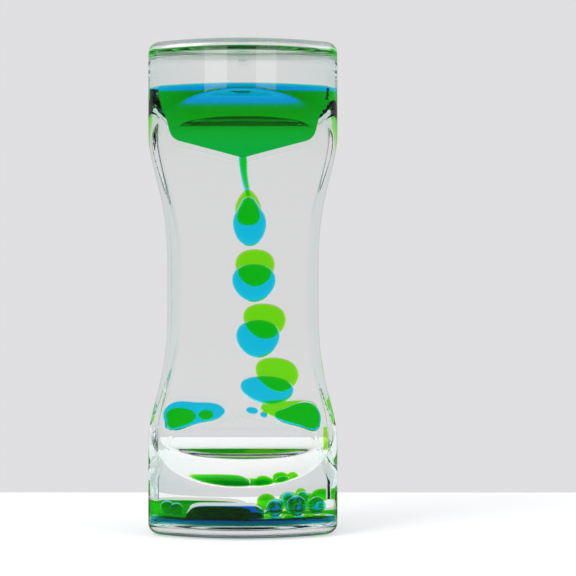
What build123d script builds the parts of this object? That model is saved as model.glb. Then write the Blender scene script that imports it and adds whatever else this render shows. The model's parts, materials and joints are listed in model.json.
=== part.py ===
from build123d import *
import os
from math import atan2, cos, pi, radians, sin, sqrt, tan

# Overall size of the standing timer, in millimetres
HEIGHT = 138.0
END_WIDTH = 53.2
END_DEPTH = 35.0
WAIST_WIDTH = 42.6
WAIST_DEPTH = 18.0

# Shell: a thin waist with flat front and rear, flaring into thick bowed ends
WALL = 2.2
BOW_RADIUS = 45.0
CORNER_RADIUS = 6.0
WAIST_CORNER = 4.2
NECK_HEIGHT = 87.0
FLARE_START = 38.0
FLARE_RADIUS = 20.0
SIDE_EASE = 1.7
LOFT_STEPS = 4

# End caps with a locating rib, and the two fill ports with their plugs
CAP_THICKNESS = 3.4
CAP_ROUNDING = 3.0
RIB_HEIGHT = 1.2
RIB_WIDTH = 1.0
PORT_RADIUS = 1.45
PORT_OFFSET = 6.0
PORT_WALL = 1.1
BOSS_HEIGHT = 1.2
PLUG_LENGTH = 5.8
PLUG_DOME = 0.9

# Centre divider, and the fit between pieces that are put together
DIVIDER = 1.0
GROOVE_DEPTH = 0.8
FIT = 0.06

# Funnel inserts: tip and shoulder are measured from the middle of the timer, the rim from its end
RETURN_SLOT = 0.4
SIDE_ROOM = 2.4
FUNNEL_WALL = 1.1
FUNNEL_TIP = 35.3
FUNNEL_SHOULDER = 54.0
RIM_GAP = 10.0
FUNNEL_SLOPE = 15.2
FUNNEL_CORNER = 5.0
SHOULDER_CORNER = 9.0
DRIP_RADIUS = 1.3

# Liquids: levels below the funnel's rim, and the room around them. Every place, radius and width that
# runs across in the lists below is a share of half the width that the liquids spread over
BLUE_LEVEL = 2.5
LIME_LEVEL = 3.0
LIQUID_GAP = 0.3
DROP_ROUNDING = 1.7
PUDDLE_ROUNDING = 0.5
SPECK_ROUNDING = 0.25
RAMP_FILM = 0.15
POOL_CORNER = 4.5
THREAD_RADIUS = 1.2
THREAD_END_RADIUS = 0.62
BLUE_THREAD_FOOT = (0.073, 25.9)
LIME_THREAD_FOOT = (0.061, 28.4)

# Carrier oil: its foot above the floor, over the pools and beads, and the lanes that the drops sink
# through, as height above the middle with the left and the right edge
OIL_FLOOR = 8.8
BLUE_LANE = [
    (36.0, -0.064, 0.064),
    (27.0, -0.064, 0.145),
    (20.0, -0.159, 0.323),
    (7.0, -0.164, 0.445),
    (-9.0, -0.164, 0.495),
    (-24.0, -0.109, 0.677),
    (-35.6, -0.059, 0.677),
    (-39.0, 0.64, 0.677),
]
LIME_LANE = [
    (36.0, -0.064, 0.064),
    (29.5, -0.064, 0.155),
    (24.0, -0.132, 0.264),
    (11.0, -0.132, 0.427),
    (4.0, -0.132, 0.473),
    (-8.0, -0.073, 0.582),
    (-21.0, -0.027, 0.745),
    (-33.2, 0.1, 0.745),
]

# Hanging blue drop: belly place and radius, tip place and radius
TEARDROP = (0.086, 16.5, 0.216, 0.073, 23.7, 0.084)

# Oval drops: place across, height above the middle, half width, half height, tilt in degrees
BLUE_OVALS = [
    (0.141, 1.4, 0.282, 5.35, 0),
    (0.193, -14.3, 0.282, 5.35, 0),
    (0.309, -28.75, 0.345, 3.95, -6),
]
LIME_OVALS = [
    (0.061, 22.9, 0.173, 5.2, 0),
    (0.15, 5.7, 0.259, 5.4, 0),
    (0.273, -9.5, 0.282, 5.1, -10),
    (0.436, -24.7, 0.289, 4.8, -18),
]

# Puddles on the lower roof: place across and height above the roof of points along the smooth rim
BLUE_LEFT = [
    (-1.009, 4.1), (-0.986, 7.3), (-0.886, 8.3), (-0.614, 6.8), (-0.395, 5.3), (-0.282, 3.8),
    (-0.227, 1.9), (-0.286, 0.5), (-0.486, 0.35), (-0.682, 0.35), (-0.895, 0.4), (-0.986, 1.8),
]
BLUE_RIGHT = [
    (0.4, 1.8), (0.42, 2.85), (0.5, 4.1), (0.627, 6.0), (0.782, 7.8), (0.909, 7.8), (0.982, 6.2),
    (0.995, 3.2), (0.945, 0.7), (0.768, 0.35), (0.577, 0.35), (0.5, 0.45), (0.436, 0.85),
]
BLUE_SPECK = [
    (0.194, 1.9), (0.171, 2.4), (0.116, 2.4), (0.062, 1.9), (0.041, 1.2), (0.064, 0.55),
    (0.116, 0.45), (0.173, 0.95),
]
BLUE_DOT = [
    (0.314, 1.3), (0.291, 1.9), (0.241, 1.7), (0.218, 1.0), (0.241, 0.4), (0.291, 0.5),
]
LIME_LEFT = [
    (-0.995, 4.1), (-0.977, 6.0), (-0.886, 6.4), (-0.77, 5.6), (-0.655, 4.1), (-0.614, 2.2),
    (-0.682, 0.8), (-0.823, 0.4), (-0.932, 0.5), (-0.986, 1.8),
]
LIME_SPECK = [
    (-0.39, 1.45), (-0.418, 2.7), (-0.485, 3.4), (-0.552, 3.4), (-0.58, 2.55), (-0.552, 1.3),
    (-0.485, 0.5), (-0.418, 0.5),
]
LIME_RIGHT = [
    (0.223, 2.55), (0.25, 3.65), (0.309, 4.5), (0.536, 6.2), (0.8, 8.0), (0.923, 7.9),
    (0.986, 5.8), (0.995, 2.8), (0.945, 0.7), (0.732, 0.35), (0.5, 0.45), (0.327, 1.1),
    (0.255, 1.65),
]

# Lime trickle in the return slot: top and foot are measured down from the middle
TRICKLE_TOP = 39.6
TRICKLE_FOOT = 47.5
TRICKLE_WIDTH = 1.4
TRICKLE_DEPTH = 3.4
TRICKLE_ROUNDING = 0.5

# Floor pools: left and right end, reach from the divider, height, rounding of the top
BLUE_POOL = (-0.7, 0.264, 12.8, 5.4, 2.4)
BLUE_LAYER = (-0.96, 0.96, 13.4, 2.0, 0.8)
LIME_POOL = (-0.945, 0.09, 13.0, 5.4, 2.4)
LIME_LAYER = (-0.96, 0.96, 13.4, 2.4, 0.9)

# Beads on the floor layers: place across, distance from the divider, height of the centre, radius
BLUE_BEADS = [
    (-0.909, 4.6, 4.05, 1.9),
    (-0.8, 7.6, 3.9, 1.75),
    (0.391, 10.0, 4.45, 2.3),
    (0.536, 5.2, 6.6, 1.8),
    (0.709, 4.6, 6.75, 1.8),
    (0.891, 5.2, 4.6, 2.45),
    (0.655, 8.8, 4.95, 2.8),
    (0.382, 4.0, 4.35, 2.2),
    (0.664, 3.6, 3.55, 1.4),
]
LIME_BEADS = [
    (0.255, 4.0, 4.95, 2.4),
    (0.482, 9.2, 4.95, 2.4),
    (0.518, 3.7, 4.85, 2.3),
    (0.905, 3.4, 3.6, 1.05),
    (0.718, 7.6, 4.75, 2.2),
    (0.718, 2.4, 3.95, 1.4),
    (0.636, 5.5, 7.25, 1.4),
]

# Flattened drop beside the lower funnel's wall: distance from the divider, height, half width, half height
LIME_FREE_DROP = (4.2, 6.7, 0.132, 1.85)

FRONT = -1
REAR = 1
MIDDLE = HEIGHT / 2
END_HALF = END_WIDTH / 2
WAIST_HALF = WAIST_WIDTH / 2
NECK_HALF = NECK_HEIGHT / 2
SHELL_HALF = MIDDLE - CAP_THICKNESS
FUNNEL_HALF = END_HALF - WALL - RETURN_SLOT
SPREAD = END_HALF - WALL - SIDE_ROOM
FUNNEL_RIM = MIDDLE - RIM_GAP
SLOPE = radians(FUNNEL_SLOPE)
KNEE_HALF = SPREAD - FUNNEL_WALL
KNEE_RISE = FUNNEL_TIP + KNEE_HALF * tan(SLOPE)
CHANNEL_NEAR = DIVIDER / 2 + FIT
CHANNEL_FAR = WAIST_DEPTH / 2 - WALL
CHANNEL_MIDDLE = (DIVIDER / 2 + CHANNEL_FAR) / 2
MIDDLE_PLANE = Plane.XY.offset(MIDDLE)

# Centre of the corner rounding of the bowed end plan
CORNER_X = END_HALF - CORNER_RADIUS
BOW_Y = END_DEPTH / 2 - BOW_RADIUS
CORNER_Y = BOW_Y + sqrt((BOW_RADIUS - CORNER_RADIUS) ** 2 - CORNER_X**2)


def rounded_outline(edge, corner, side, crown):
    """Closed plan through a front edge, a corner arc and a side, mirrored to all four quarters."""
    (ex, ey), (cx, cy), (sx, sy) = edge, corner, side

    def front(y):
        if crown:
            return ThreePointArc((-ex, y * ey), (0, y * crown), (ex, y * ey))
        return Line((-ex, y * ey), (ex, y * ey))

    corners = [
        ThreePointArc((x * ex, y * ey), (x * cx, y * cy), (x * sx, y * sy))
        for x in (-1, 1)
        for y in (-1, 1)
    ]
    sides = [Line((x * sx, -sy), (x * sx, sy)) for x in (-1, 1)]
    return make_face(Curve() + [front(-1), front(1)] + corners + sides)


def end_plan(inset):
    """Plan of an end block: bowed front and rear, round corners, short straight sides."""
    reach = BOW_RADIUS - CORNER_RADIUS
    bow = BOW_RADIUS - inset
    radius = CORNER_RADIUS - inset
    half_angle = atan2(CORNER_Y - BOW_Y, CORNER_X) / 2
    edge = (bow * CORNER_X / reach, BOW_Y + bow * (CORNER_Y - BOW_Y) / reach)
    corner = (CORNER_X + radius * cos(half_angle), CORNER_Y + radius * sin(half_angle))
    return rounded_outline(edge, corner, (CORNER_X + radius, CORNER_Y), END_DEPTH / 2 - inset)


def flat_half(rise, inset):
    """Half depth between the flat front and rear at a height, which flare from the waist to the ends."""
    bend = FLARE_RADIUS + inset
    climb = max(abs(rise) - FLARE_START, 0)
    return WAIST_DEPTH / 2 - inset + bend - sqrt(bend**2 - climb**2)


def waist_plan(rise, inset):
    """Plan of the waist at a height above the middle: flat front and rear, sides that flare."""
    flare = (1 - cos(pi * (abs(rise) / NECK_HALF) ** SIDE_EASE)) / 2
    half_width = WAIST_HALF + flare * (END_HALF - WAIST_HALF)
    outer_radius = WAIST_CORNER + flare * (CORNER_RADIUS - WAIST_CORNER)
    waist_y = WAIST_DEPTH / 2 - WAIST_CORNER
    centre_x = half_width - outer_radius
    centre_y = waist_y + flare * (CORNER_Y - waist_y)
    radius = outer_radius - inset
    front = flat_half(rise, inset)
    edge_x = centre_x + sqrt(max(radius**2 - (front - centre_y) ** 2, 0))
    half_angle = atan2(front - centre_y, edge_x - centre_x) / 2
    corner = (centre_x + radius * cos(half_angle), centre_y + radius * sin(half_angle))
    outline = rounded_outline((edge_x, front), corner, (centre_x + radius, centre_y), 0)
    return Plane.XY.offset(MIDDLE + rise) * outline


def end_block(inset):
    """Upper end block: the bowed plan, cut by the flare that leads out of the flat waist."""
    foot = MIDDLE + NECK_HALF
    top = MIDDLE + SHELL_HALF
    bend = FLARE_RADIUS + inset
    knee = FLARE_START + sqrt(bend**2 - (bend + WAIST_DEPTH / 2 - END_DEPTH / 2) ** 2)
    arc = [(flat_half(rise, inset), MIDDLE + rise) for rise in (NECK_HALF, (NECK_HALF + knee) / 2, knee)]
    low, middle, high = arc
    flare = make_face(
        Curve()
        + [
            Line((-low[0], foot), low),
            ThreePointArc(low, middle, high),
            Line(high, (high[0], top)),
            Line((high[0], top), (-high[0], top)),
            Line((-high[0], top), (-high[0], high[1])),
            ThreePointArc((-high[0], high[1]), (-middle[0], middle[1]), (-low[0], foot)),
        ]
    )
    prism = extrude(Plane.XY.offset(foot) * end_plan(inset), amount=top - foot)
    return prism & extrude(Plane.YZ * flare, amount=END_HALF, both=True)


def flipped(shape):
    """The same shape at the other end of the timer."""
    return mirror(shape, about=MIDDLE_PLANE)


def flipped_face(face):
    """The same front-view outline at the other end of the timer."""
    return Pos(0, HEIGHT) * mirror(face, about=Plane.XZ)


def hourglass(inset):
    """Whole body between the caps, drawn in by an inset on every side."""
    steps = range(1, LOFT_STEPS + 1)
    half = [FLARE_START * step / LOFT_STEPS for step in steps]
    half += [FLARE_START + (NECK_HALF - FLARE_START) * step / LOFT_STEPS for step in steps]
    rises = [-rise for rise in reversed(half)] + [0] + half
    waist = loft([waist_plan(rise, inset) for rise in rises])
    block = end_block(inset)
    return waist + block + flipped(block)


def slab(face, near, far, side):
    """Extrude an outline in the front view between two distances from the divider's plane."""
    return extrude(Plane.XZ.offset(-side * near) * face, amount=-side * (far - near))


def half_of(shape, near, side):
    """The part of a shape in front of or behind the divider, from a distance on."""
    face = Pos(0, MIDDLE) * Rectangle(END_WIDTH, HEIGHT)
    return shape & slab(face, near, END_DEPTH, side)


def middle_plate(shape, thickness, height):
    """The part of a shape that lies in the plane of the divider."""
    return shape & (Pos(0, 0, MIDDLE) * Box(END_WIDTH, thickness, height))


def body_shell():
    grooves = middle_plate(hourglass(WALL - GROOVE_DEPTH), DIVIDER + 2 * FIT, HEIGHT)
    return hourglass(0) - hourglass(WALL) - grooves


def centre_divider():
    return middle_plate(hourglass(WALL - GROOVE_DEPTH + FIT), DIVIDER, 2 * (SHELL_HALF - FIT))


def end_cap():
    """Upper end cap: a rounded plate with a rib that drops inside the shell, open at the divider."""
    seat = Plane.XY.offset(MIDDLE + SHELL_HALF)
    plate = extrude(seat * end_plan(0), amount=CAP_THICKNESS)
    plate = fillet(plate.edges().group_by(Axis.Z)[-1], CAP_ROUNDING)
    ring = end_plan(WALL + FIT) - end_plan(WALL + FIT + RIB_WIDTH)
    rib = extrude(seat * ring, amount=-RIB_HEIGHT)
    return plate + (rib - middle_plate(rib, DIVIDER + 2 * LIQUID_GAP, HEIGHT))


def fill_post(side, radius, top, length):
    """Upright round post at a fill port, hanging down from a height."""
    return Pos(0, side * PORT_OFFSET, top - length / 2) * Cylinder(radius, length)


def top_cap():
    """End cap with a boss and a bore for each fill plug."""
    cap = end_cap()
    for side in (FRONT, REAR):
        cap += fill_post(side, PORT_RADIUS + PORT_WALL, HEIGHT - CAP_THICKNESS, BOSS_HEIGHT)
        cap -= fill_post(side, PORT_RADIUS, HEIGHT, CAP_THICKNESS + BOSS_HEIGHT)
    return cap


def fill_plug(side):
    post = fill_post(side, PORT_RADIUS - FIT, HEIGHT, PLUG_LENGTH)
    return fillet(post.edges().group_by(Axis.Z)[0], PLUG_DOME)


def bowl_half(rise):
    """Half width of a funnel's bowl at a height, where its sides lean out."""
    lean = (FUNNEL_HALF - KNEE_HALF) / (FUNNEL_SHOULDER - KNEE_RISE)
    return KNEE_HALF + lean * (rise - KNEE_RISE)


def funnel_face(inset, top):
    """Front view of a funnel's bowl up to a height: sloping floor, and sides that lean out to the shell."""
    rim = top + inset
    side = [(KNEE_HALF, KNEE_RISE), (FUNNEL_HALF, FUNNEL_SHOULDER), (FUNNEL_HALF, rim)]
    if rim < FUNNEL_SHOULDER + SHOULDER_CORNER / 4:
        side = [(KNEE_HALF, KNEE_RISE), (bowl_half(rim), rim)]
    face = make_face(Polyline((0, FUNNEL_TIP), *side, *[(-x, y) for x, y in reversed(side)], close=True))
    if inset:
        face = offset(face, amount=-inset, kind=Kind.INTERSECTION)
    knees = [vertex for vertex in face.vertices() if abs(vertex.Y - KNEE_RISE) < 2 * FUNNEL_WALL]
    face = fillet(knees, FUNNEL_CORNER - inset)
    shoulders = [vertex for vertex in face.vertices() if abs(vertex.Y - FUNNEL_SHOULDER) < FUNNEL_WALL]
    if len(side) > 2:
        face = fillet(shoulders, SHOULDER_CORNER - inset)
    return Pos(0, MIDDLE) * face


def funnel(side):
    """Upper funnel insert of one half, from the divider to the flared wall, with its drip hole."""
    ring = funnel_face(0, FUNNEL_RIM) - funnel_face(FUNNEL_WALL, FUNNEL_RIM)
    solid = slab(ring, CHANNEL_NEAR, END_DEPTH, side) & halves[side]
    drip = Pos(0, side * CHANNEL_MIDDLE, MIDDLE + FUNNEL_TIP) * Cylinder(DRIP_RADIUS, 4 * FUNNEL_WALL)
    return solid - drip


def upper_pool(level, side):
    """Liquid that fills an upper funnel up to its level below the rim."""
    face = funnel_face(FUNNEL_WALL + FIT, FUNNEL_RIM - level)
    return slab(face, CHANNEL_NEAR, END_DEPTH, side) & halves[side]


def thread(side, foot_x, foot):
    """Stream from the drip hole, thinning on its way to the hanging drop."""
    top = FUNNEL_TIP + FUNNEL_WALL / cos(SLOPE)
    neck = (top + foot) / 2
    stations = [
        (top, 0, THREAD_RADIUS),
        (neck, foot_x / 4, (THREAD_RADIUS + THREAD_END_RADIUS) / 2),
        (foot, foot_x, THREAD_END_RADIUS),
    ]
    rings = [
        Pos(x * SPREAD, side * CHANNEL_MIDDLE, MIDDLE + rise) * Circle(radius)
        for rise, x, radius in stations
    ]
    return loft(rings)


def teardrop(x, rise, radius, tip_x, tip_rise, tip_radius):
    """Outline of a hanging drop: a round belly drawn up to a tip."""
    belly = Pos(x * SPREAD, MIDDLE + rise) * Circle(radius * SPREAD)
    tip = Pos(tip_x * SPREAD, MIDDLE + tip_rise) * Circle(tip_radius * SPREAD)
    return make_hull(belly.edges() + tip.edges())


def oval(x, rise, half_width, half_height, tilt):
    outline = Ellipse(half_width * SPREAD, half_height)
    return Pos(x * SPREAD, MIDDLE + rise) * Rot(0, 0, tilt) * outline


def pressed(face, side, rounding):
    """Liquid pressed flat between the wall and the divider, with rounded rims."""
    solid = slab(face, DIVIDER / 2 + LIQUID_GAP, CHANNEL_FAR - LIQUID_GAP, side)
    rims = solid.edges().filter_by(Axis.Y, reverse=True)
    return fillet(rims, rounding)


def roof(x):
    """Height of the film on the lower funnel's sloping roof."""
    return MIDDLE + RAMP_FILM - FUNNEL_TIP - abs(x) * tan(SLOPE)


def puddle_face(rim):
    """Smooth outline of a puddle on the lower roof."""
    places = [(x * SPREAD, lift) for x, lift in rim]
    return make_face(Spline(*[(x, roof(x) + lift) for x, lift in places], periodic=True))


def trickle_face():
    """Outline of the liquid that runs down the return slot beside the lower funnel."""
    x = bowl_half(TRICKLE_FOOT) + LIQUID_GAP + TRICKLE_WIDTH / 2
    height = TRICKLE_FOOT - TRICKLE_TOP
    face = Pos(x, MIDDLE - TRICKLE_TOP - height / 2) * Rectangle(TRICKLE_WIDTH, height)
    return fillet(face.vertices(), TRICKLE_ROUNDING)


def trickle():
    near = CHANNEL_MIDDLE - TRICKLE_DEPTH / 2
    return slab(trickle_face(), near, near + TRICKLE_DEPTH, REAR) & liquid_room


def floor_pool(left, right, far, height, rounding, side):
    """Pool on the floor of the lower end, with a rounded top, inside the cap's rib."""
    near = DIVIDER / 2 + LIQUID_GAP
    floor = CAP_THICKNESS + FIT
    middle = (left + right) / 2 * SPREAD
    block = Box((right - left) * SPREAD, far - near, height)
    block = Pos(middle, side * (near + far) / 2, floor + height / 2) * block
    block = fillet(block.edges().filter_by(Axis.Z), POOL_CORNER)
    block = fillet(block.edges().group_by(Axis.Z)[-1], rounding)
    basin = Plane.XY.offset(floor) * end_plan(WALL + RIB_WIDTH + LIQUID_GAP)
    return block & extrude(basin, amount=height)


def beads(places, side):
    """Small round drops that lie side by side and on each other on a floor layer."""
    floor = CAP_THICKNESS + FIT
    balls = [
        Pos(x * SPREAD, side * y, floor + rise) * Sphere(radius)
        for x, y, rise, radius in places
    ]
    return Compound(children=balls)


def free_drop(y, rise, half_width, half_height):
    """Flattened drop that rests on the lime beads, close to the wall of the lower funnel."""
    radius = half_width * SPREAD
    x = FUNNEL_HALF - FUNNEL_WALL - LIQUID_GAP - radius
    flat = scale(Sphere(radius), by=(1, 1, half_height / radius))
    return Pos(x, REAR * y, CAP_THICKNESS + FIT + rise) * flat


def lane_face(stations):
    """Lane that the sinking drops keep free, through its left and right edge at several heights."""
    left = [(x * SPREAD, MIDDLE + rise) for rise, x, _ in stations]
    right = [(x * SPREAD, MIDDLE + rise) for rise, _, x in reversed(stations)]
    return make_face(Polyline(*left, *right, close=True))


def carrier_oil(side, level, rooms):
    """Clear oil of one half: all that the funnels, the liquids and the lane of the drops leave free."""
    top = MIDDLE + SHELL_HALF - RIB_HEIGHT - FIT
    foot = CAP_THICKNESS + OIL_FLOOR
    face = Pos(0, (top + foot) / 2) * Rectangle(END_WIDTH, top - foot)
    bowl = funnel_face(-FIT, FUNNEL_RIM + FIT) - funnel_face(FUNNEL_WALL + FIT, FUNNEL_RIM + FIT)
    pool = funnel_face(FUNNEL_WALL, FUNNEL_RIM - level + FIT)
    for room in [bowl, flipped_face(bowl), pool] + rooms:
        face -= room
    oil = slab(face, CHANNEL_NEAR, END_DEPTH, side) & halves[side]
    oil -= fill_post(side, PORT_RADIUS + PORT_WALL + FIT, HEIGHT, CAP_THICKNESS + BOSS_HEIGHT + FIT)
    return oil - fill_post(side, PORT_RADIUS, HEIGHT, PLUG_LENGTH + FIT)


inside = hourglass(WALL + FIT)
halves = {side: half_of(inside, CHANNEL_NEAR, side) for side in (FRONT, REAR)}
liquid_room = hourglass(WALL + LIQUID_GAP)

nodes = {
    "body_shell": body_shell(),
    "centre_divider": centre_divider(),
    "top_end_cap": top_cap(),
    "bottom_end_cap": flipped(end_cap()),
    "blue_upper_pool": upper_pool(BLUE_LEVEL, FRONT),
    "lime_upper_pool": upper_pool(LIME_LEVEL, REAR),
    "blue_bottom_pool": floor_pool(*BLUE_POOL, FRONT) + floor_pool(*BLUE_LAYER, FRONT),
    "lime_bottom_pool": floor_pool(*LIME_POOL, REAR) + floor_pool(*LIME_LAYER, REAR),
    "blue_beads": beads(BLUE_BEADS, FRONT),
    "lime_beads": beads(LIME_BEADS, REAR),
    "lime_free_drop": free_drop(*LIME_FREE_DROP),
    "lime_trickle": trickle(),
    "blue_thread": thread(FRONT, *BLUE_THREAD_FOOT),
    "lime_thread": thread(REAR, *LIME_THREAD_FOOT),
}

for name, side in (("front", FRONT), ("rear", REAR)):
    nodes[f"upper_{name}_funnel"] = funnel(side)
    nodes[f"lower_{name}_funnel"] = flipped(funnel(side))
    nodes[f"{name}_fill_plug"] = fill_plug(side)

blue_drops = [teardrop(*TEARDROP)] + [oval(*place) for place in BLUE_OVALS]
lime_drops = [oval(*place) for place in LIME_OVALS]
for number, (blue, lime) in enumerate(zip(blue_drops, lime_drops), 1):
    nodes[f"blue_drop_{number}"] = pressed(blue, FRONT, DROP_ROUNDING)
    nodes[f"lime_drop_{number}"] = pressed(lime, REAR, DROP_ROUNDING)

puddle_rims = {
    "blue_left_puddle": (FRONT, [BLUE_LEFT], PUDDLE_ROUNDING),
    "blue_right_puddle": (FRONT, [BLUE_RIGHT], PUDDLE_ROUNDING),
    "blue_small_puddles": (FRONT, [BLUE_SPECK, BLUE_DOT], SPECK_ROUNDING),
    "lime_left_puddle": (REAR, [LIME_LEFT], PUDDLE_ROUNDING),
    "lime_small_puddle": (REAR, [LIME_SPECK], SPECK_ROUNDING),
    "lime_right_puddle": (REAR, [LIME_RIGHT], PUDDLE_ROUNDING),
}
rooms = {FRONT: [lane_face(BLUE_LANE)], REAR: [lane_face(LIME_LANE), offset(trickle_face(), amount=FIT)]}
for name, (side, rims, rounding) in puddle_rims.items():
    faces = [puddle_face(rim) for rim in rims]
    solids = [pressed(face, side, rounding) & liquid_room for face in faces]
    nodes[name] = Compound(children=solids)
    rooms[side] += [offset(face, amount=RAMP_FILM) for face in faces]
nodes["front_carrier_oil"] = carrier_oil(FRONT, BLUE_LEVEL, rooms[FRONT])
nodes["rear_carrier_oil"] = carrier_oil(REAR, LIME_LEVEL, rooms[REAR])

os.makedirs("parts", exist_ok=True)
for name, shape in nodes.items():
    export_step(shape, f"parts/{name}.step")
    box = shape.bounding_box()
    print(f"{name:22} {shape.volume:9.1f} {len(shape.solids())} {shape.is_valid} {box.min} {box.max}")
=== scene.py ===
import json
from functools import cache
from math import cos, hypot, pi, radians, sin, sqrt

import bmesh
import bpy
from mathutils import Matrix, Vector

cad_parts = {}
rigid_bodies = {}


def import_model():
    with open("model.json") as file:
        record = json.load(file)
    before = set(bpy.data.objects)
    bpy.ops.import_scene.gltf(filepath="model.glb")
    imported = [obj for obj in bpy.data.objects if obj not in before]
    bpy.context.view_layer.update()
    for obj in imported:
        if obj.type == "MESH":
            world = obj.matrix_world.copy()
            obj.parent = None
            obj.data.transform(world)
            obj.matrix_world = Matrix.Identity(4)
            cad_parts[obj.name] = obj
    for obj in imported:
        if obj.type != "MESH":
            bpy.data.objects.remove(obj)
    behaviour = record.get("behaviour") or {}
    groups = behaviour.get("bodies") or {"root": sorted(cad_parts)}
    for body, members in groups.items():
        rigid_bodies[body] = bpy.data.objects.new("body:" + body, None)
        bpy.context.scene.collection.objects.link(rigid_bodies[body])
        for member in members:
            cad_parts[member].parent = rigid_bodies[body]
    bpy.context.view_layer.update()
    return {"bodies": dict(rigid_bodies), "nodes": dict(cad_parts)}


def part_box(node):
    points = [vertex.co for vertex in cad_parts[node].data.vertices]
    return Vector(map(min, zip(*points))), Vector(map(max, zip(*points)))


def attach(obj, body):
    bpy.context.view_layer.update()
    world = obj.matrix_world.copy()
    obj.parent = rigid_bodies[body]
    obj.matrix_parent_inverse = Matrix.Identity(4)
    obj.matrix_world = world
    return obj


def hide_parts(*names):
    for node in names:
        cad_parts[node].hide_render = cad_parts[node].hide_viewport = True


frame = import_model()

nodes = frame["nodes"]

# Body shell: a clear acrylic hourglass, moulded in one with a thin flat waist that flares into thick bowed
# ends. Oil wets it inside, so its inner face bends light far less than its outer one, and the thick side
# walls show a faint mint. The oil has no face of its own: light passes from the wall straight into it.
MM = 0.001
HEIGHT, WALL, CAP = 138 * MM, 2.2 * MM, 3.4 * MM
END_HALF, END_DEPTH, BOW = 26.6 * MM, 17.5 * MM, 45 * MM
END_CORNER, WAIST_CORNER = 6 * MM, 4.2 * MM
WAIST_HALF, WAIST_FLAT = 21.3 * MM, 9 * MM
NECK, SIDE_EASE, FLARE_START, BEND = 43.5 * MM, 1.7, 38 * MM, 20 * MM
AROUND = 312
TURNS = [(0, 0), (0.12, 17), (0.67, 41), (1, 90)]
WAIST_RINGS, FLARE_RINGS, FLARE_STEP = 24, 45, 0.4 * MM
END_RISES = [56.5 * MM, 58 * MM, 60 * MM, 62.5 * MM]
SEAM, TOUCH = 0.02 * MM, 0.002 * MM
OUTER, WET, WELDED, MATT = range(4)

MIDDLE = HEIGHT / 2
TOP = MIDDLE - CAP
BOW_Y = END_DEPTH - BOW
CORNER_X = END_HALF - END_CORNER
CORNER_Y = BOW_Y + sqrt((BOW - END_CORNER) ** 2 - CORNER_X**2)


def outside(x, y, rise, inset):
    """How far a point of the plan at a height lies outside the wall drawn in by an inset."""
    flare = (1 - cos(pi * min(abs(rise) / NECK, 1) ** SIDE_EASE)) / 2
    half = WAIST_HALF + flare * (END_HALF - WAIST_HALF)
    corner = WAIST_CORNER + flare * (END_CORNER - WAIST_CORNER)
    middle_x = half - corner
    middle_y = (1 - flare) * (WAIST_FLAT - WAIST_CORNER) + flare * CORNER_Y
    bend = BEND + inset
    climb = min(max(abs(rise) - FLARE_START, 0), bend)
    flat = WAIST_FLAT - inset + bend - sqrt(bend**2 - climb**2)
    past_x, past_y = x - middle_x, y - middle_y
    bowed = hypot(x, y - BOW_Y) - BOW
    in_bow = flare > 0.99 and past_y * middle_x > past_x * (middle_y - BOW_Y)
    side = hypot(past_x, past_y) - corner if past_x > 0 and past_y > 0 and not in_bow else x - half
    return max(y - flat, side + inset, bowed + inset)


def turn(step):
    """Angle of a step round one quarter of the timer, with short steps round the corner."""
    share = 4 * step / AROUND
    for (low, start), (high, end) in zip(TURNS, TURNS[1:]):
        if share <= high:
            return radians(start + (end - start) * (share - low) / (high - low))


@cache
def reach(step, rise, inset):
    """Point of the wall's plan at a step round the first quarter of the timer."""
    way_x, way_y = cos(turn(step)) * END_HALF, sin(turn(step)) * END_DEPTH
    near, far = 0.0, 1.5
    for _ in range(30):
        share = (near + far) / 2
        near, far = (share, far) if outside(way_x * share, way_y * share, rise, inset) < 0 else (near, share)
    return way_x * near, way_y * near


def on_plan(number, rise, inset):
    """Point of the wall's plan at a step round the timer."""
    half = number % (AROUND // 2)
    x, y = reach(min(half, AROUND // 2 - half), abs(rise), inset)
    left = AROUND / 4 < number < AROUND * 3 / 4
    return Vector((-x if left else x, -y if number > AROUND / 2 else y, MIDDLE + rise))


class Outline:
    """A mesh that grows ring by ring from one circle, each ring moved onto the timer's plan."""

    def __init__(self, rise, inset):
        self.bm = bmesh.new()
        self.number = self.bm.verts.layers.int.new("number")
        ring = bmesh.ops.create_circle(self.bm, segments=AROUND, radius=1)["verts"]
        for number, vert in enumerate(ring):
            vert[self.number] = number
            vert.co = on_plan(number, rise, inset)
        self.first = self.ring = self.bm.edges[:]

    def grow(self, rise, inset, material, crease=False):
        """Add a ring and the faces up to it."""
        for edge in self.ring:
            edge.smooth = not crease
        made = bmesh.ops.extrude_edge_only(self.bm, edges=self.ring)["geom"]
        ends = {vert for vert in made if isinstance(vert, bmesh.types.BMVert)}
        for vert in ends:
            vert.co = on_plan(vert[self.number], rise, inset)
        for face in made:
            if isinstance(face, bmesh.types.BMFace):
                face.material_index = material
        self.ring = [e for e in made if isinstance(e, bmesh.types.BMEdge) and set(e.verts) <= ends]

    def close(self, material):
        """Fill the open end with one flat face."""
        face = bmesh.ops.contextual_create(self.bm, geom=self.ring)["faces"][0]
        face.material_index = material


def finished(bm, name, *materials):
    """Put a mesh into the scene as a smooth piece, which also knows how far each point faces sideways."""
    bmesh.ops.remove_doubles(bm, verts=bm.verts, dist=TOUCH)
    bmesh.ops.recalc_face_normals(bm, faces=bm.faces)
    for face in bm.faces:
        face.smooth = True
    bm.normal_update()
    sideways = bm.verts.layers.float.new("sideways")
    for vert in bm.verts:
        vert[sideways] = abs(vert.normal.x)
    mesh = bpy.data.meshes.new(name)
    bm.to_mesh(mesh)
    bm.free()
    piece = bpy.data.objects.new(name, mesh)
    bpy.context.scene.collection.objects.link(piece)
    for material in materials:
        mesh.materials.append(material)
    return piece


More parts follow.
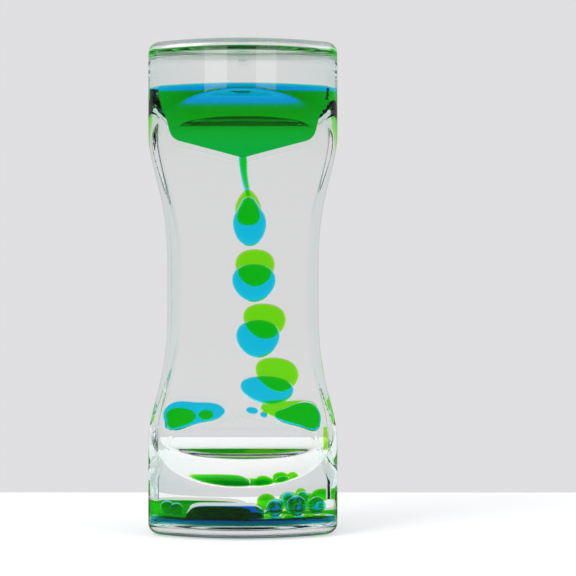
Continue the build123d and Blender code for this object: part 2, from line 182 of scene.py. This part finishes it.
class Shade:
    """A value of a material's node tree: + - * on it add Math nodes, and node() adds any other."""

    def __init__(self, tree, socket=None):
        self.tree = tree
        self.socket = socket

    def node(self, kind, settings=None, **inputs):
        made = self.tree.nodes.new("ShaderNode" + kind)
        for key, value in (settings or {}).items():
            setattr(made, key, value)
        for key, value in inputs.items():
            place = int(key[1:]) if key[0] == "i" and key[1:].isdigit() else key.replace("_", " ")
            if isinstance(value, Shade):
                self.tree.links.new(value.socket, made.inputs[place])
            else:
                made.inputs[place].default_value = value
        return made

    def out(self, made, name=0):
        return Shade(self.tree, made.outputs[name])

    def math(self, operation, *values):
        places = {f"i{number}": value for number, value in enumerate(values)}
        return self.out(self.node("Math", {"operation": operation}, **places))

    def __add__(self, other):
        return self.math("ADD", self, other)

    def __sub__(self, other):
        return self.math("SUBTRACT", self, other)

    def __rsub__(self, other):
        return self.math("SUBTRACT", other, self)

    def __mul__(self, other):
        return self.math("MULTIPLY", self, other)

    __radd__ = __add__
    __rmul__ = __mul__


def new_material(name):
    material = bpy.data.materials.new(name)
    material.use_nodes = True
    material.node_tree.nodes.clear()
    return material, Shade(material.node_tree)


def clear_acrylic(name, bend, tint, ripple, side=None):
    """Clear moulded acrylic with a faint ripple of the mould and fine wear, another tint at its sides."""
    material, shade = new_material(name)
    place = shade.out(shade.node("TexCoord"), "Object")
    if side:
        facing = shade.out(shade.node("Attribute", {"attribute_name": "sideways"}), "Fac")
        across = shade.out(shade.node("MapRange", Value=facing, From_Min=0.15, From_Max=0.75))
        tint = shade.out(shade.node("Mix", {"data_type": "RGBA"}, i0=across, i6=tint, i7=side), 2)
    wave = shade.out(shade.node("TexNoise", Vector=place, Scale=60.0, Detail=1.0), "Fac")
    wear = shade.out(shade.node("TexNoise", Vector=place, Scale=900.0, Detail=3.0), "Fac")
    bump = shade.out(shade.node("Bump", Strength=ripple, Distance=0.001, Height=wave))
    gloss = shade.node(
        "BsdfPrincipled",
        Base_Color=tint,
        IOR=bend,
        Transmission_Weight=1.0,
        Roughness=wear * 0.03,
        Normal=bump,
    )
    shade.node("OutputMaterial", Surface=shade.out(gloss))
    return material


MINT = (0.84, 0.95, 0.92, 1)
acrylic = clear_acrylic("acrylic", 1.47, (0.96, 0.96, 0.958, 1), 0.003)
wet_wall = clear_acrylic("wet_wall", 1.018, (0.99, 0.995, 0.99, 1), 0.003, MINT)
weld = clear_acrylic("weld", 1.0015, (0.86, 0.96, 0.93, 1), 0.003)

waist_rises = [FLARE_START * step / WAIST_RINGS for step in range(WAIST_RINGS)]
flare_rises = [FLARE_START + step * FLARE_STEP for step in range(FLARE_RINGS)]
half_rises = waist_rises + flare_rises + END_RISES + [TOP - SEAM]
rises = [-rise for rise in reversed(half_rises[1:])] + half_rises
shell_wall = Outline(rises[0], 0)
for rise in rises[1:]:
    shell_wall.grow(rise, 0, OUTER, crease=rise == rises[1])
shell_wall.grow(TOP - SEAM, WALL, WELDED, crease=True)
for rise in reversed(rises[:-1]):
    shell_wall.grow(rise, WALL, WET, crease=rise == rises[-2])
for edge in shell_wall.ring:
    edge.smooth = False
foot = bmesh.ops.bridge_loops(shell_wall.bm, edges=shell_wall.first + shell_wall.ring)["faces"]
for face in foot:
    face.material_index = WELDED
shell = finished(shell_wall.bm, "shell", acrylic, wet_wall, weld)
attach(shell, "timer")
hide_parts("body_shell", "front_carrier_oil", "rear_carrier_oil")

# Centre divider: a flat clear acrylic sheet, slid into grooves of the shell, which parts the blue half from
# the lime half. Its faces are wet on both sides and hardly show.
divider_sheet = clear_acrylic("divider_sheet", 1.02, (0.99, 1, 0.995, 1), 0.01)
nodes["centre_divider"].data.materials.clear()
nodes["centre_divider"].data.materials.append(divider_sheet)

# Funnel inserts: four thin moulded acrylic bowls, two above and two below, glued to the divider and to the
# shell. Liquid drips through the hole at each tip. The upper ones are full of liquid, and show even less.
flooded_wall = clear_acrylic("flooded_wall", 1.005, (0.985, 1, 0.995, 1), 0.003)
funnel_wall = clear_acrylic("funnel_wall", 1.03, (0.975, 1, 0.99, 1), 0.003)
for level, wall in (("upper", flooded_wall), ("lower", funnel_wall)):
    for side in ("front", "rear"):
        funnel = nodes[f"{level}_{side}_funnel"]
        funnel.data.materials.clear()
        funnel.data.materials.append(wall)

# End caps: clear acrylic plates with a rounded edge and a rib that drops inside the shell, welded on all
# round. The weld is a thin seam that is only just seen, and the underside has a fine matt grain.
CAP_ROUND, ROUND_STEPS, RIM = 3 * MM, 12, 0.3 * MM
RIB_IN, RIB_OUT, RIB_DEEP = 3.26 * MM, 2.26 * MM, 1.2 * MM
UNDERSIDE = (0.92, 0.97, 0.95, 1)

matt_face, shade = new_material("matt_face")
place = shade.out(shade.node("TexCoord"), "Object")
grain = shade.out(shade.node("TexNoise", Vector=place, Scale=1500.0, Detail=2.0), "Fac")
clear = shade.node("BsdfPrincipled", Base_Color=UNDERSIDE, IOR=1.018, Transmission_Weight=1.0, Roughness=0.05)
veil = shade.node("BsdfTranslucent", Color=UNDERSIDE)
mixed = shade.node("MixShader", i0=grain * 0.8, i1=shade.out(clear), i2=shade.out(veil))
shade.node("OutputMaterial", Surface=shade.out(mixed))

for name, sign in (("top_end_cap", 1), ("bottom_end_cap", -1)):
    plate = Outline(sign * TOP, RIB_IN + RIM)
    plate.close(MATT)
    plate.grow(sign * TOP, RIB_IN, MATT)
    plate.grow(sign * (TOP - RIB_DEEP), RIB_IN, WET, crease=True)
    plate.grow(sign * (TOP - RIB_DEEP), RIB_OUT, WET, crease=True)
    plate.grow(sign * TOP, RIB_OUT, WET, crease=True)
    plate.grow(sign * TOP, 0, WELDED, crease=True)
    plate.grow(sign * (MIDDLE - CAP_ROUND), 0, OUTER, crease=True)
    for step in range(1, ROUND_STEPS + 1):
        angle = pi / 2 * step / ROUND_STEPS
        rise = MIDDLE - CAP_ROUND * (1 - sin(angle))
        plate.grow(sign * rise, CAP_ROUND * (1 - cos(angle)), OUTER)
    plate.grow(sign * MIDDLE, CAP_ROUND + RIM, OUTER)
    plate.close(OUTER)
    cap = finished(plate.bm, name + "_clear", acrylic, wet_wall, weld, matt_face)
    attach(cap, "timer")
    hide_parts(name)

# Fill plugs: two short clear pegs with a domed foot, pressed into the ports of the top cap once the timer
# is filled. Their heads sit a hair below the cap's top, and the press fit leaves no gap to see.
SUNK, SHARP = 0.15 * MM, radians(30)
plug_clear = clear_acrylic("plug_clear", 1.02, (0.94, 0.985, 0.985, 1), 0.003)


def merged(node):
    """Mesh of a CAD node with its faces joined."""
    bm = bmesh.new()
    bm.from_mesh(nodes[node].data)
    bmesh.ops.remove_doubles(bm, verts=bm.verts, dist=TOUCH)
    return bm


def mark_sharp(bm):
    for edge in bm.edges:
        edge.smooth = edge.is_manifold and edge.calc_face_angle(pi) < SHARP


for name in ("front_fill_plug", "rear_fill_plug"):
    bm = merged(name)
    for vert in bm.verts:
        vert.co.z = min(vert.co.z, HEIGHT - SUNK)
    mark_sharp(bm)
    plug = finished(bm, name + "_clear", plug_clear)
    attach(plug, "timer")
    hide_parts(name)

# Upper pools: what is left to drip, water dyed blue in the front half and lime in the rear one. Each fills
# its funnel and runs over the funnel's shoulder to the shell's wall. Water bends light less than the oil
# round it, so that it shows a rim, and its dye takes more light the deeper it is.
BLUE_SKIN, LIME_SKIN = (0.9, 0.98, 1, 1), (0.97, 1, 0.9, 1)
FILM, POOL_IN, UPPER_END = 0.05 * MM, 18 * MM, 22.8 * MM
SHOULDER, SHOULDER_RISE = 116.5 * MM, 4 * MM
SHOULDER_CUTS = [115 + 0.5 * step for step in range(20)]


def dyed_water(name, skin, dye, strength, bend):
    """Water with a dye that absorbs light, and a faint swell on its surface."""
    material, shade = new_material(name)
    place = shade.out(shade.node("TexCoord"), "Object")
    wave = shade.out(shade.node("TexNoise", Vector=place, Scale=140.0, Detail=0.0), "Fac")
    bump = shade.out(shade.node("Bump", Strength=0.02, Distance=0.001, Height=wave))
    clear = shade.node("BsdfGlass", Color=skin, IOR=bend, Roughness=0.0, Normal=bump)
    absorb = shade.node("VolumeAbsorption", Color=dye, Density=strength)
    shade.node("OutputMaterial", Surface=shade.out(clear), Volume=shade.out(absorb))
    return material


def slice_up(bm, way, places):
    """Cut a mesh across a direction at each place in millimetres, so that it can bend there."""
    for place in places:
        whole = bm.verts[:] + bm.edges[:] + bm.faces[:]
        bmesh.ops.bisect_plane(bm, geom=whole, plane_co=way * place * MM, plane_no=way)


def push(place, near, far, wall):
    """How far a place beyond near moves out, where far moves to the shell's wall."""
    past = max(abs(place) - near, 0)
    moved = past * (wall - WALL - FILM - near) / (far - near) - past
    return moved if place > 0 else -moved


def spread(vert, move):
    """Move a point of a pool outwards, as far as the shell's wall lets it."""
    start = vert.co.copy()
    vert.co += move
    for _ in range(20):
        if outside(abs(vert.co.x), abs(vert.co.y), vert.co.z - MIDDLE, WALL + FILM) > 0:
            vert.co = start.lerp(vert.co, 0.9)


def pour(node, bm, blue, lime):
    """Put a liquid's mesh in the place of its CAD node, in the colour of its half."""
    colour = node.split("_")[0]
    mark_sharp(bm)
    piece = finished(bm, node + "_liquid", blue if colour == "blue" else lime)
    weigh = piece.modifiers.new("weigh", "WEIGHTED_NORMAL")
    weigh.keep_sharp = True
    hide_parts(node)
    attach(piece, node if node in frame["bodies"] else "timer")
    colour + "_liquid"


blue_depth = dyed_water("blue_depth", BLUE_SKIN, (0.0, 0.922, 0.995, 1), 900.0, 0.97)
lime_depth = dyed_water("lime_depth", LIME_SKIN, (0.35, 0.985, 0.0, 1), 400.0, 0.97)
for node in ("blue_upper_pool", "lime_upper_pool"):
    bm = merged(node)
    slice_up(bm, Vector((0, 0, 1)), SHOULDER_CUTS)
    for vert in bm.verts:
        climb = min(max((vert.co.z - SHOULDER) / SHOULDER_RISE, 0), 1) ** 0.5
        spread(vert, Vector((push(vert.co.x, POOL_IN, UPPER_END, END_HALF) * climb, 0, 0)))
    pour(node, bm, blue_depth, lime_depth)

# Streams: the blue and the lime thread of dyed water that hang from the drip holes. Each starts inside its
# pool and thins towards the drop that has just come off.
INTO_POOL = 0.7 * MM
blue_stream = dyed_water("blue_stream", BLUE_SKIN, (0.0, 0.95, 0.99, 1), 1800.0, 0.995)
lime_stream = dyed_water("lime_stream", LIME_SKIN, (0.4, 0.99, 0.2, 1), 1800.0, 0.995)
for node in ("blue_thread", "lime_thread"):
    bm = merged(node)
    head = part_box(node)[1][2] - FILM
    for vert in bm.verts:
        vert.co.z += INTO_POOL * (vert.co.z > head)
    pour(node, bm, blue_stream, lime_stream)

# Sinking drops: four blue and four lime ones, flat between divider and shell, which sink freely through the
# oil. They are egg shaped: widest above the middle, with a narrower foot. The topmost ones still hang long.
EGG = (0.15, 0.05)
HANGING = {"blue_drop_1": (0.3, -0.06), "lime_drop_1": (-0.1, -0.3)}
blue_water = dyed_water("blue_water", BLUE_SKIN, (0.0, 0.933, 0.996, 1), 900.0, 0.94)
lime_water = dyed_water("lime_water", LIME_SKIN, (0.71, 0.987, 0.0, 1), 900.0, 0.94)
for node in [f"{colour}_drop_{number}" for colour in ("blue", "lime") for number in range(1, 5)]:
    bm = merged(node)
    lift, taper = HANGING.get(node, EGG)
    left, foot = [min(vert.co[axis] for vert in bm.verts) for axis in (0, 2)]
    right, head = [max(vert.co[axis] for vert in bm.verts) for axis in (0, 2)]
    for vert in bm.verts:
        across = vert.co.x - (left + right) / 2
        up = (2 * vert.co.z - foot - head) / (head - foot)
        vert.co.z += lift * (1 - up**2) * (head - foot) / 2
        vert.co.x += across * taper * up * abs(up)
    pour(node, bm, blue_water, lime_water)

# Puddles: drops of dyed water that have landed on the roofs of the lower funnels and run together, and the
# lime trickle that runs down through the slot on the right. They lie loose on the roofs.
for node in (
    "blue_left_puddle",
    "blue_right_puddle",
    "blue_small_puddles",
    "lime_left_puddle",
    "lime_small_puddle",
    "lime_right_puddle",
    "lime_trickle",
):
    pour(node, merged(node), blue_water, lime_water)

# Floor pools: the dyed water that has already run through, a thick pool in a thin layer on the bottom cap in
# each half. The layer reaches the shell's wall all round, and the pool is rounded at its ends.
FLOOR_END_X, FLOOR_IN_Y, FLOOR_END_Y = 21.15 * MM, 9 * MM, 13.4 * MM
FLOOR_CUTS = range(-24, 25)
CROWN_DROP, CROWN_ROUND = 0.75, 7
CROWNS = {
    "blue_bottom_pool": (-4 * MM, 11.5 * MM, 5.5 * MM),
    "lime_bottom_pool": (-20.5 * MM, 23.5 * MM, 5.9 * MM),
}
blue_floor = dyed_water("blue_floor", BLUE_SKIN, (0.0, 0.92, 0.985, 1), 2200.0, 0.97)
lime_floor = dyed_water("lime_floor", LIME_SKIN, (0.65, 0.96, 0.0, 1), 2200.0, 0.97)
for node, (crown_x, crown_half, layer) in CROWNS.items():
    bm = merged(node)
    slice_up(bm, Vector((1, 0, 0)), FLOOR_CUTS)
    for vert in bm.verts:
        if vert.co.z > layer:
            share = min(abs(vert.co.x - crown_x) / crown_half, 1)
            vert.co.z = layer + (vert.co.z - layer) * (1 - CROWN_DROP * share**CROWN_ROUND)
        move_x = push(vert.co.x, POOL_IN, FLOOR_END_X, END_HALF)
        move_y = push(vert.co.y, FLOOR_IN_Y, FLOOR_END_Y, END_DEPTH)
        spread(vert, Vector((move_x, move_y, 0)))
    pour(node, bm, blue_floor, lime_floor)

# Beads: small round drops of dyed water that lie on the floor layers and have not merged yet, and one flat
# lime drop that floats above them on the right.
for node in ("blue_beads", "lime_beads", "lime_free_drop"):
    pour(node, merged(node), blue_floor, lime_floor)

# Table and wall: a plain white table top with its back edge close behind the timer, and a plain pale grey
# wall far behind it. Neither is part of the timer.
TABLE_Z, TABLE_SIDE, TABLE_BACK = -0.2 * MM, 1.2, 80 * MM
WALL_SIDE, WALL_Y, WALL_LOW, WALL_HIGH = 4.5, 0.9, -1.9, 1.1


def pale(name, colour, glow, mirrored):
    """Pale surface that shows its own colour to the camera and through the clear pieces, dimmer mirrored."""
    material, shade = new_material(name)
    path = shade.node("LightPath")
    mirror = shade.out(path, "Is Reflection Ray") * shade.out(path, "Is Glossy Ray")
    seen = (shade.out(path, "Is Camera Ray") + shade.out(path, "Is Transmission Ray")) * glow + mirror
    matt = shade.node("BsdfDiffuse", Color=colour)
    bright = shade.node("Emission", Color=colour, Strength=1.0 - mirror * (1.0 - mirrored))
    mixed = shade.node("MixShader", i0=seen, i1=shade.out(matt), i2=shade.out(bright))
    shade.node("OutputMaterial", Surface=shade.out(mixed))
    return material


def sheet(name, material, *corners):
    bm = bmesh.new()
    bmesh.ops.contextual_create(bm, geom=[bm.verts.new(corner) for corner in corners])
    finished(bm, name, material)


sheet(
    "table",
    pale("table_white", (0.95, 0.95, 0.95, 1), 0.5, 0.2),
    (-TABLE_SIDE, -TABLE_SIDE, TABLE_Z),
    (TABLE_SIDE, -TABLE_SIDE, TABLE_Z),
    (TABLE_SIDE, TABLE_BACK, TABLE_Z),
    (-TABLE_SIDE, TABLE_BACK, TABLE_Z),
)
sheet(
    "wall",
    pale("wall_grey", (0.745, 0.735, 0.75, 1), 1.0, 0.6),
    (-WALL_SIDE, WALL_Y, WALL_LOW),
    (WALL_SIDE, WALL_Y, WALL_LOW),
    (WALL_SIDE, WALL_Y, WALL_HIGH),
    (-WALL_SIDE, WALL_Y, WALL_HIGH),
)

# Light: a pale room that is dim overhead and in reflections, a large soft lamp above on the left, a weaker
# one on the right, and two faint windows behind the camera that show as pale panels on the bowed ends.
world = bpy.data.worlds.new("room")
bpy.context.scene.world = world
world.use_nodes = True
world.node_tree.nodes.clear()
room = Shade(world.node_tree)
path = room.node("LightPath")
way = room.node("SeparateXYZ", Vector=room.out(room.node("TexCoord"), "Generated"))
overhead = room.out(room.node("MapRange", Value=room.out(way, "Z"), From_Min=0.05, From_Max=0.3))
mirror = room.out(path, "Is Reflection Ray") * room.out(path, "Is Glossy Ray")
dim = room.math("MAXIMUM", mirror, overhead * room.out(path, "Is Transmission Ray"))
glow = room.node("Background", Color=(0.96, 0.98, 1.0, 1), Strength=0.75 - dim * 0.62)
room.node("OutputWorld", Surface=room.out(glow))


def lamp(name, place, size, power):
    """Square lamp that faces the timer, seen in reflections but not through the clear pieces."""
    light = bpy.data.lights.new(name, "AREA")
    light.size = size
    light.energy = power
    item = bpy.data.objects.new(name, light)
    item.location = place
    aim = Vector((0, 0, 0.07)) - Vector(place)
    item.rotation_euler = aim.to_track_quat("-Z", "Y").to_euler()
    item.visible_transmission = False
    bpy.context.scene.collection.objects.link(item)


lamp("left_lamp", (-0.7, -0.5, 0.9), 0.6, 9.0)
lamp("right_lamp", (0.9, -0.3, 0.6), 0.5, 4.0)
lamp("left_window", (-0.5, -1.3, 0.42), 0.42, 1.2)
lamp("right_window", (0.4, -1.35, 0.42), 0.38, 0.8)

# Camera: level with the middle of the timer, a little to its right. Light passes many clear faces in a row,
# so the path of a ray may be long.
eye = bpy.data.cameras.new("eye")
eye.lens = 94.2
eye.sensor_width = 36
eye.clip_start = 0.01
eye_item = bpy.data.objects.new("eye", eye)
eye_item.location = (12.7 * MM, -430 * MM, MIDDLE)
eye_item.rotation_euler = (pi / 2, 0, 0)
bpy.context.scene.collection.objects.link(eye_item)
bpy.context.scene.camera = eye_item

scene = bpy.context.scene
scene.view_settings.view_transform = "Standard"
scene.cycles.max_bounces = 48
scene.cycles.transmission_bounces = 48
scene.cycles.transparent_max_bounces = 32
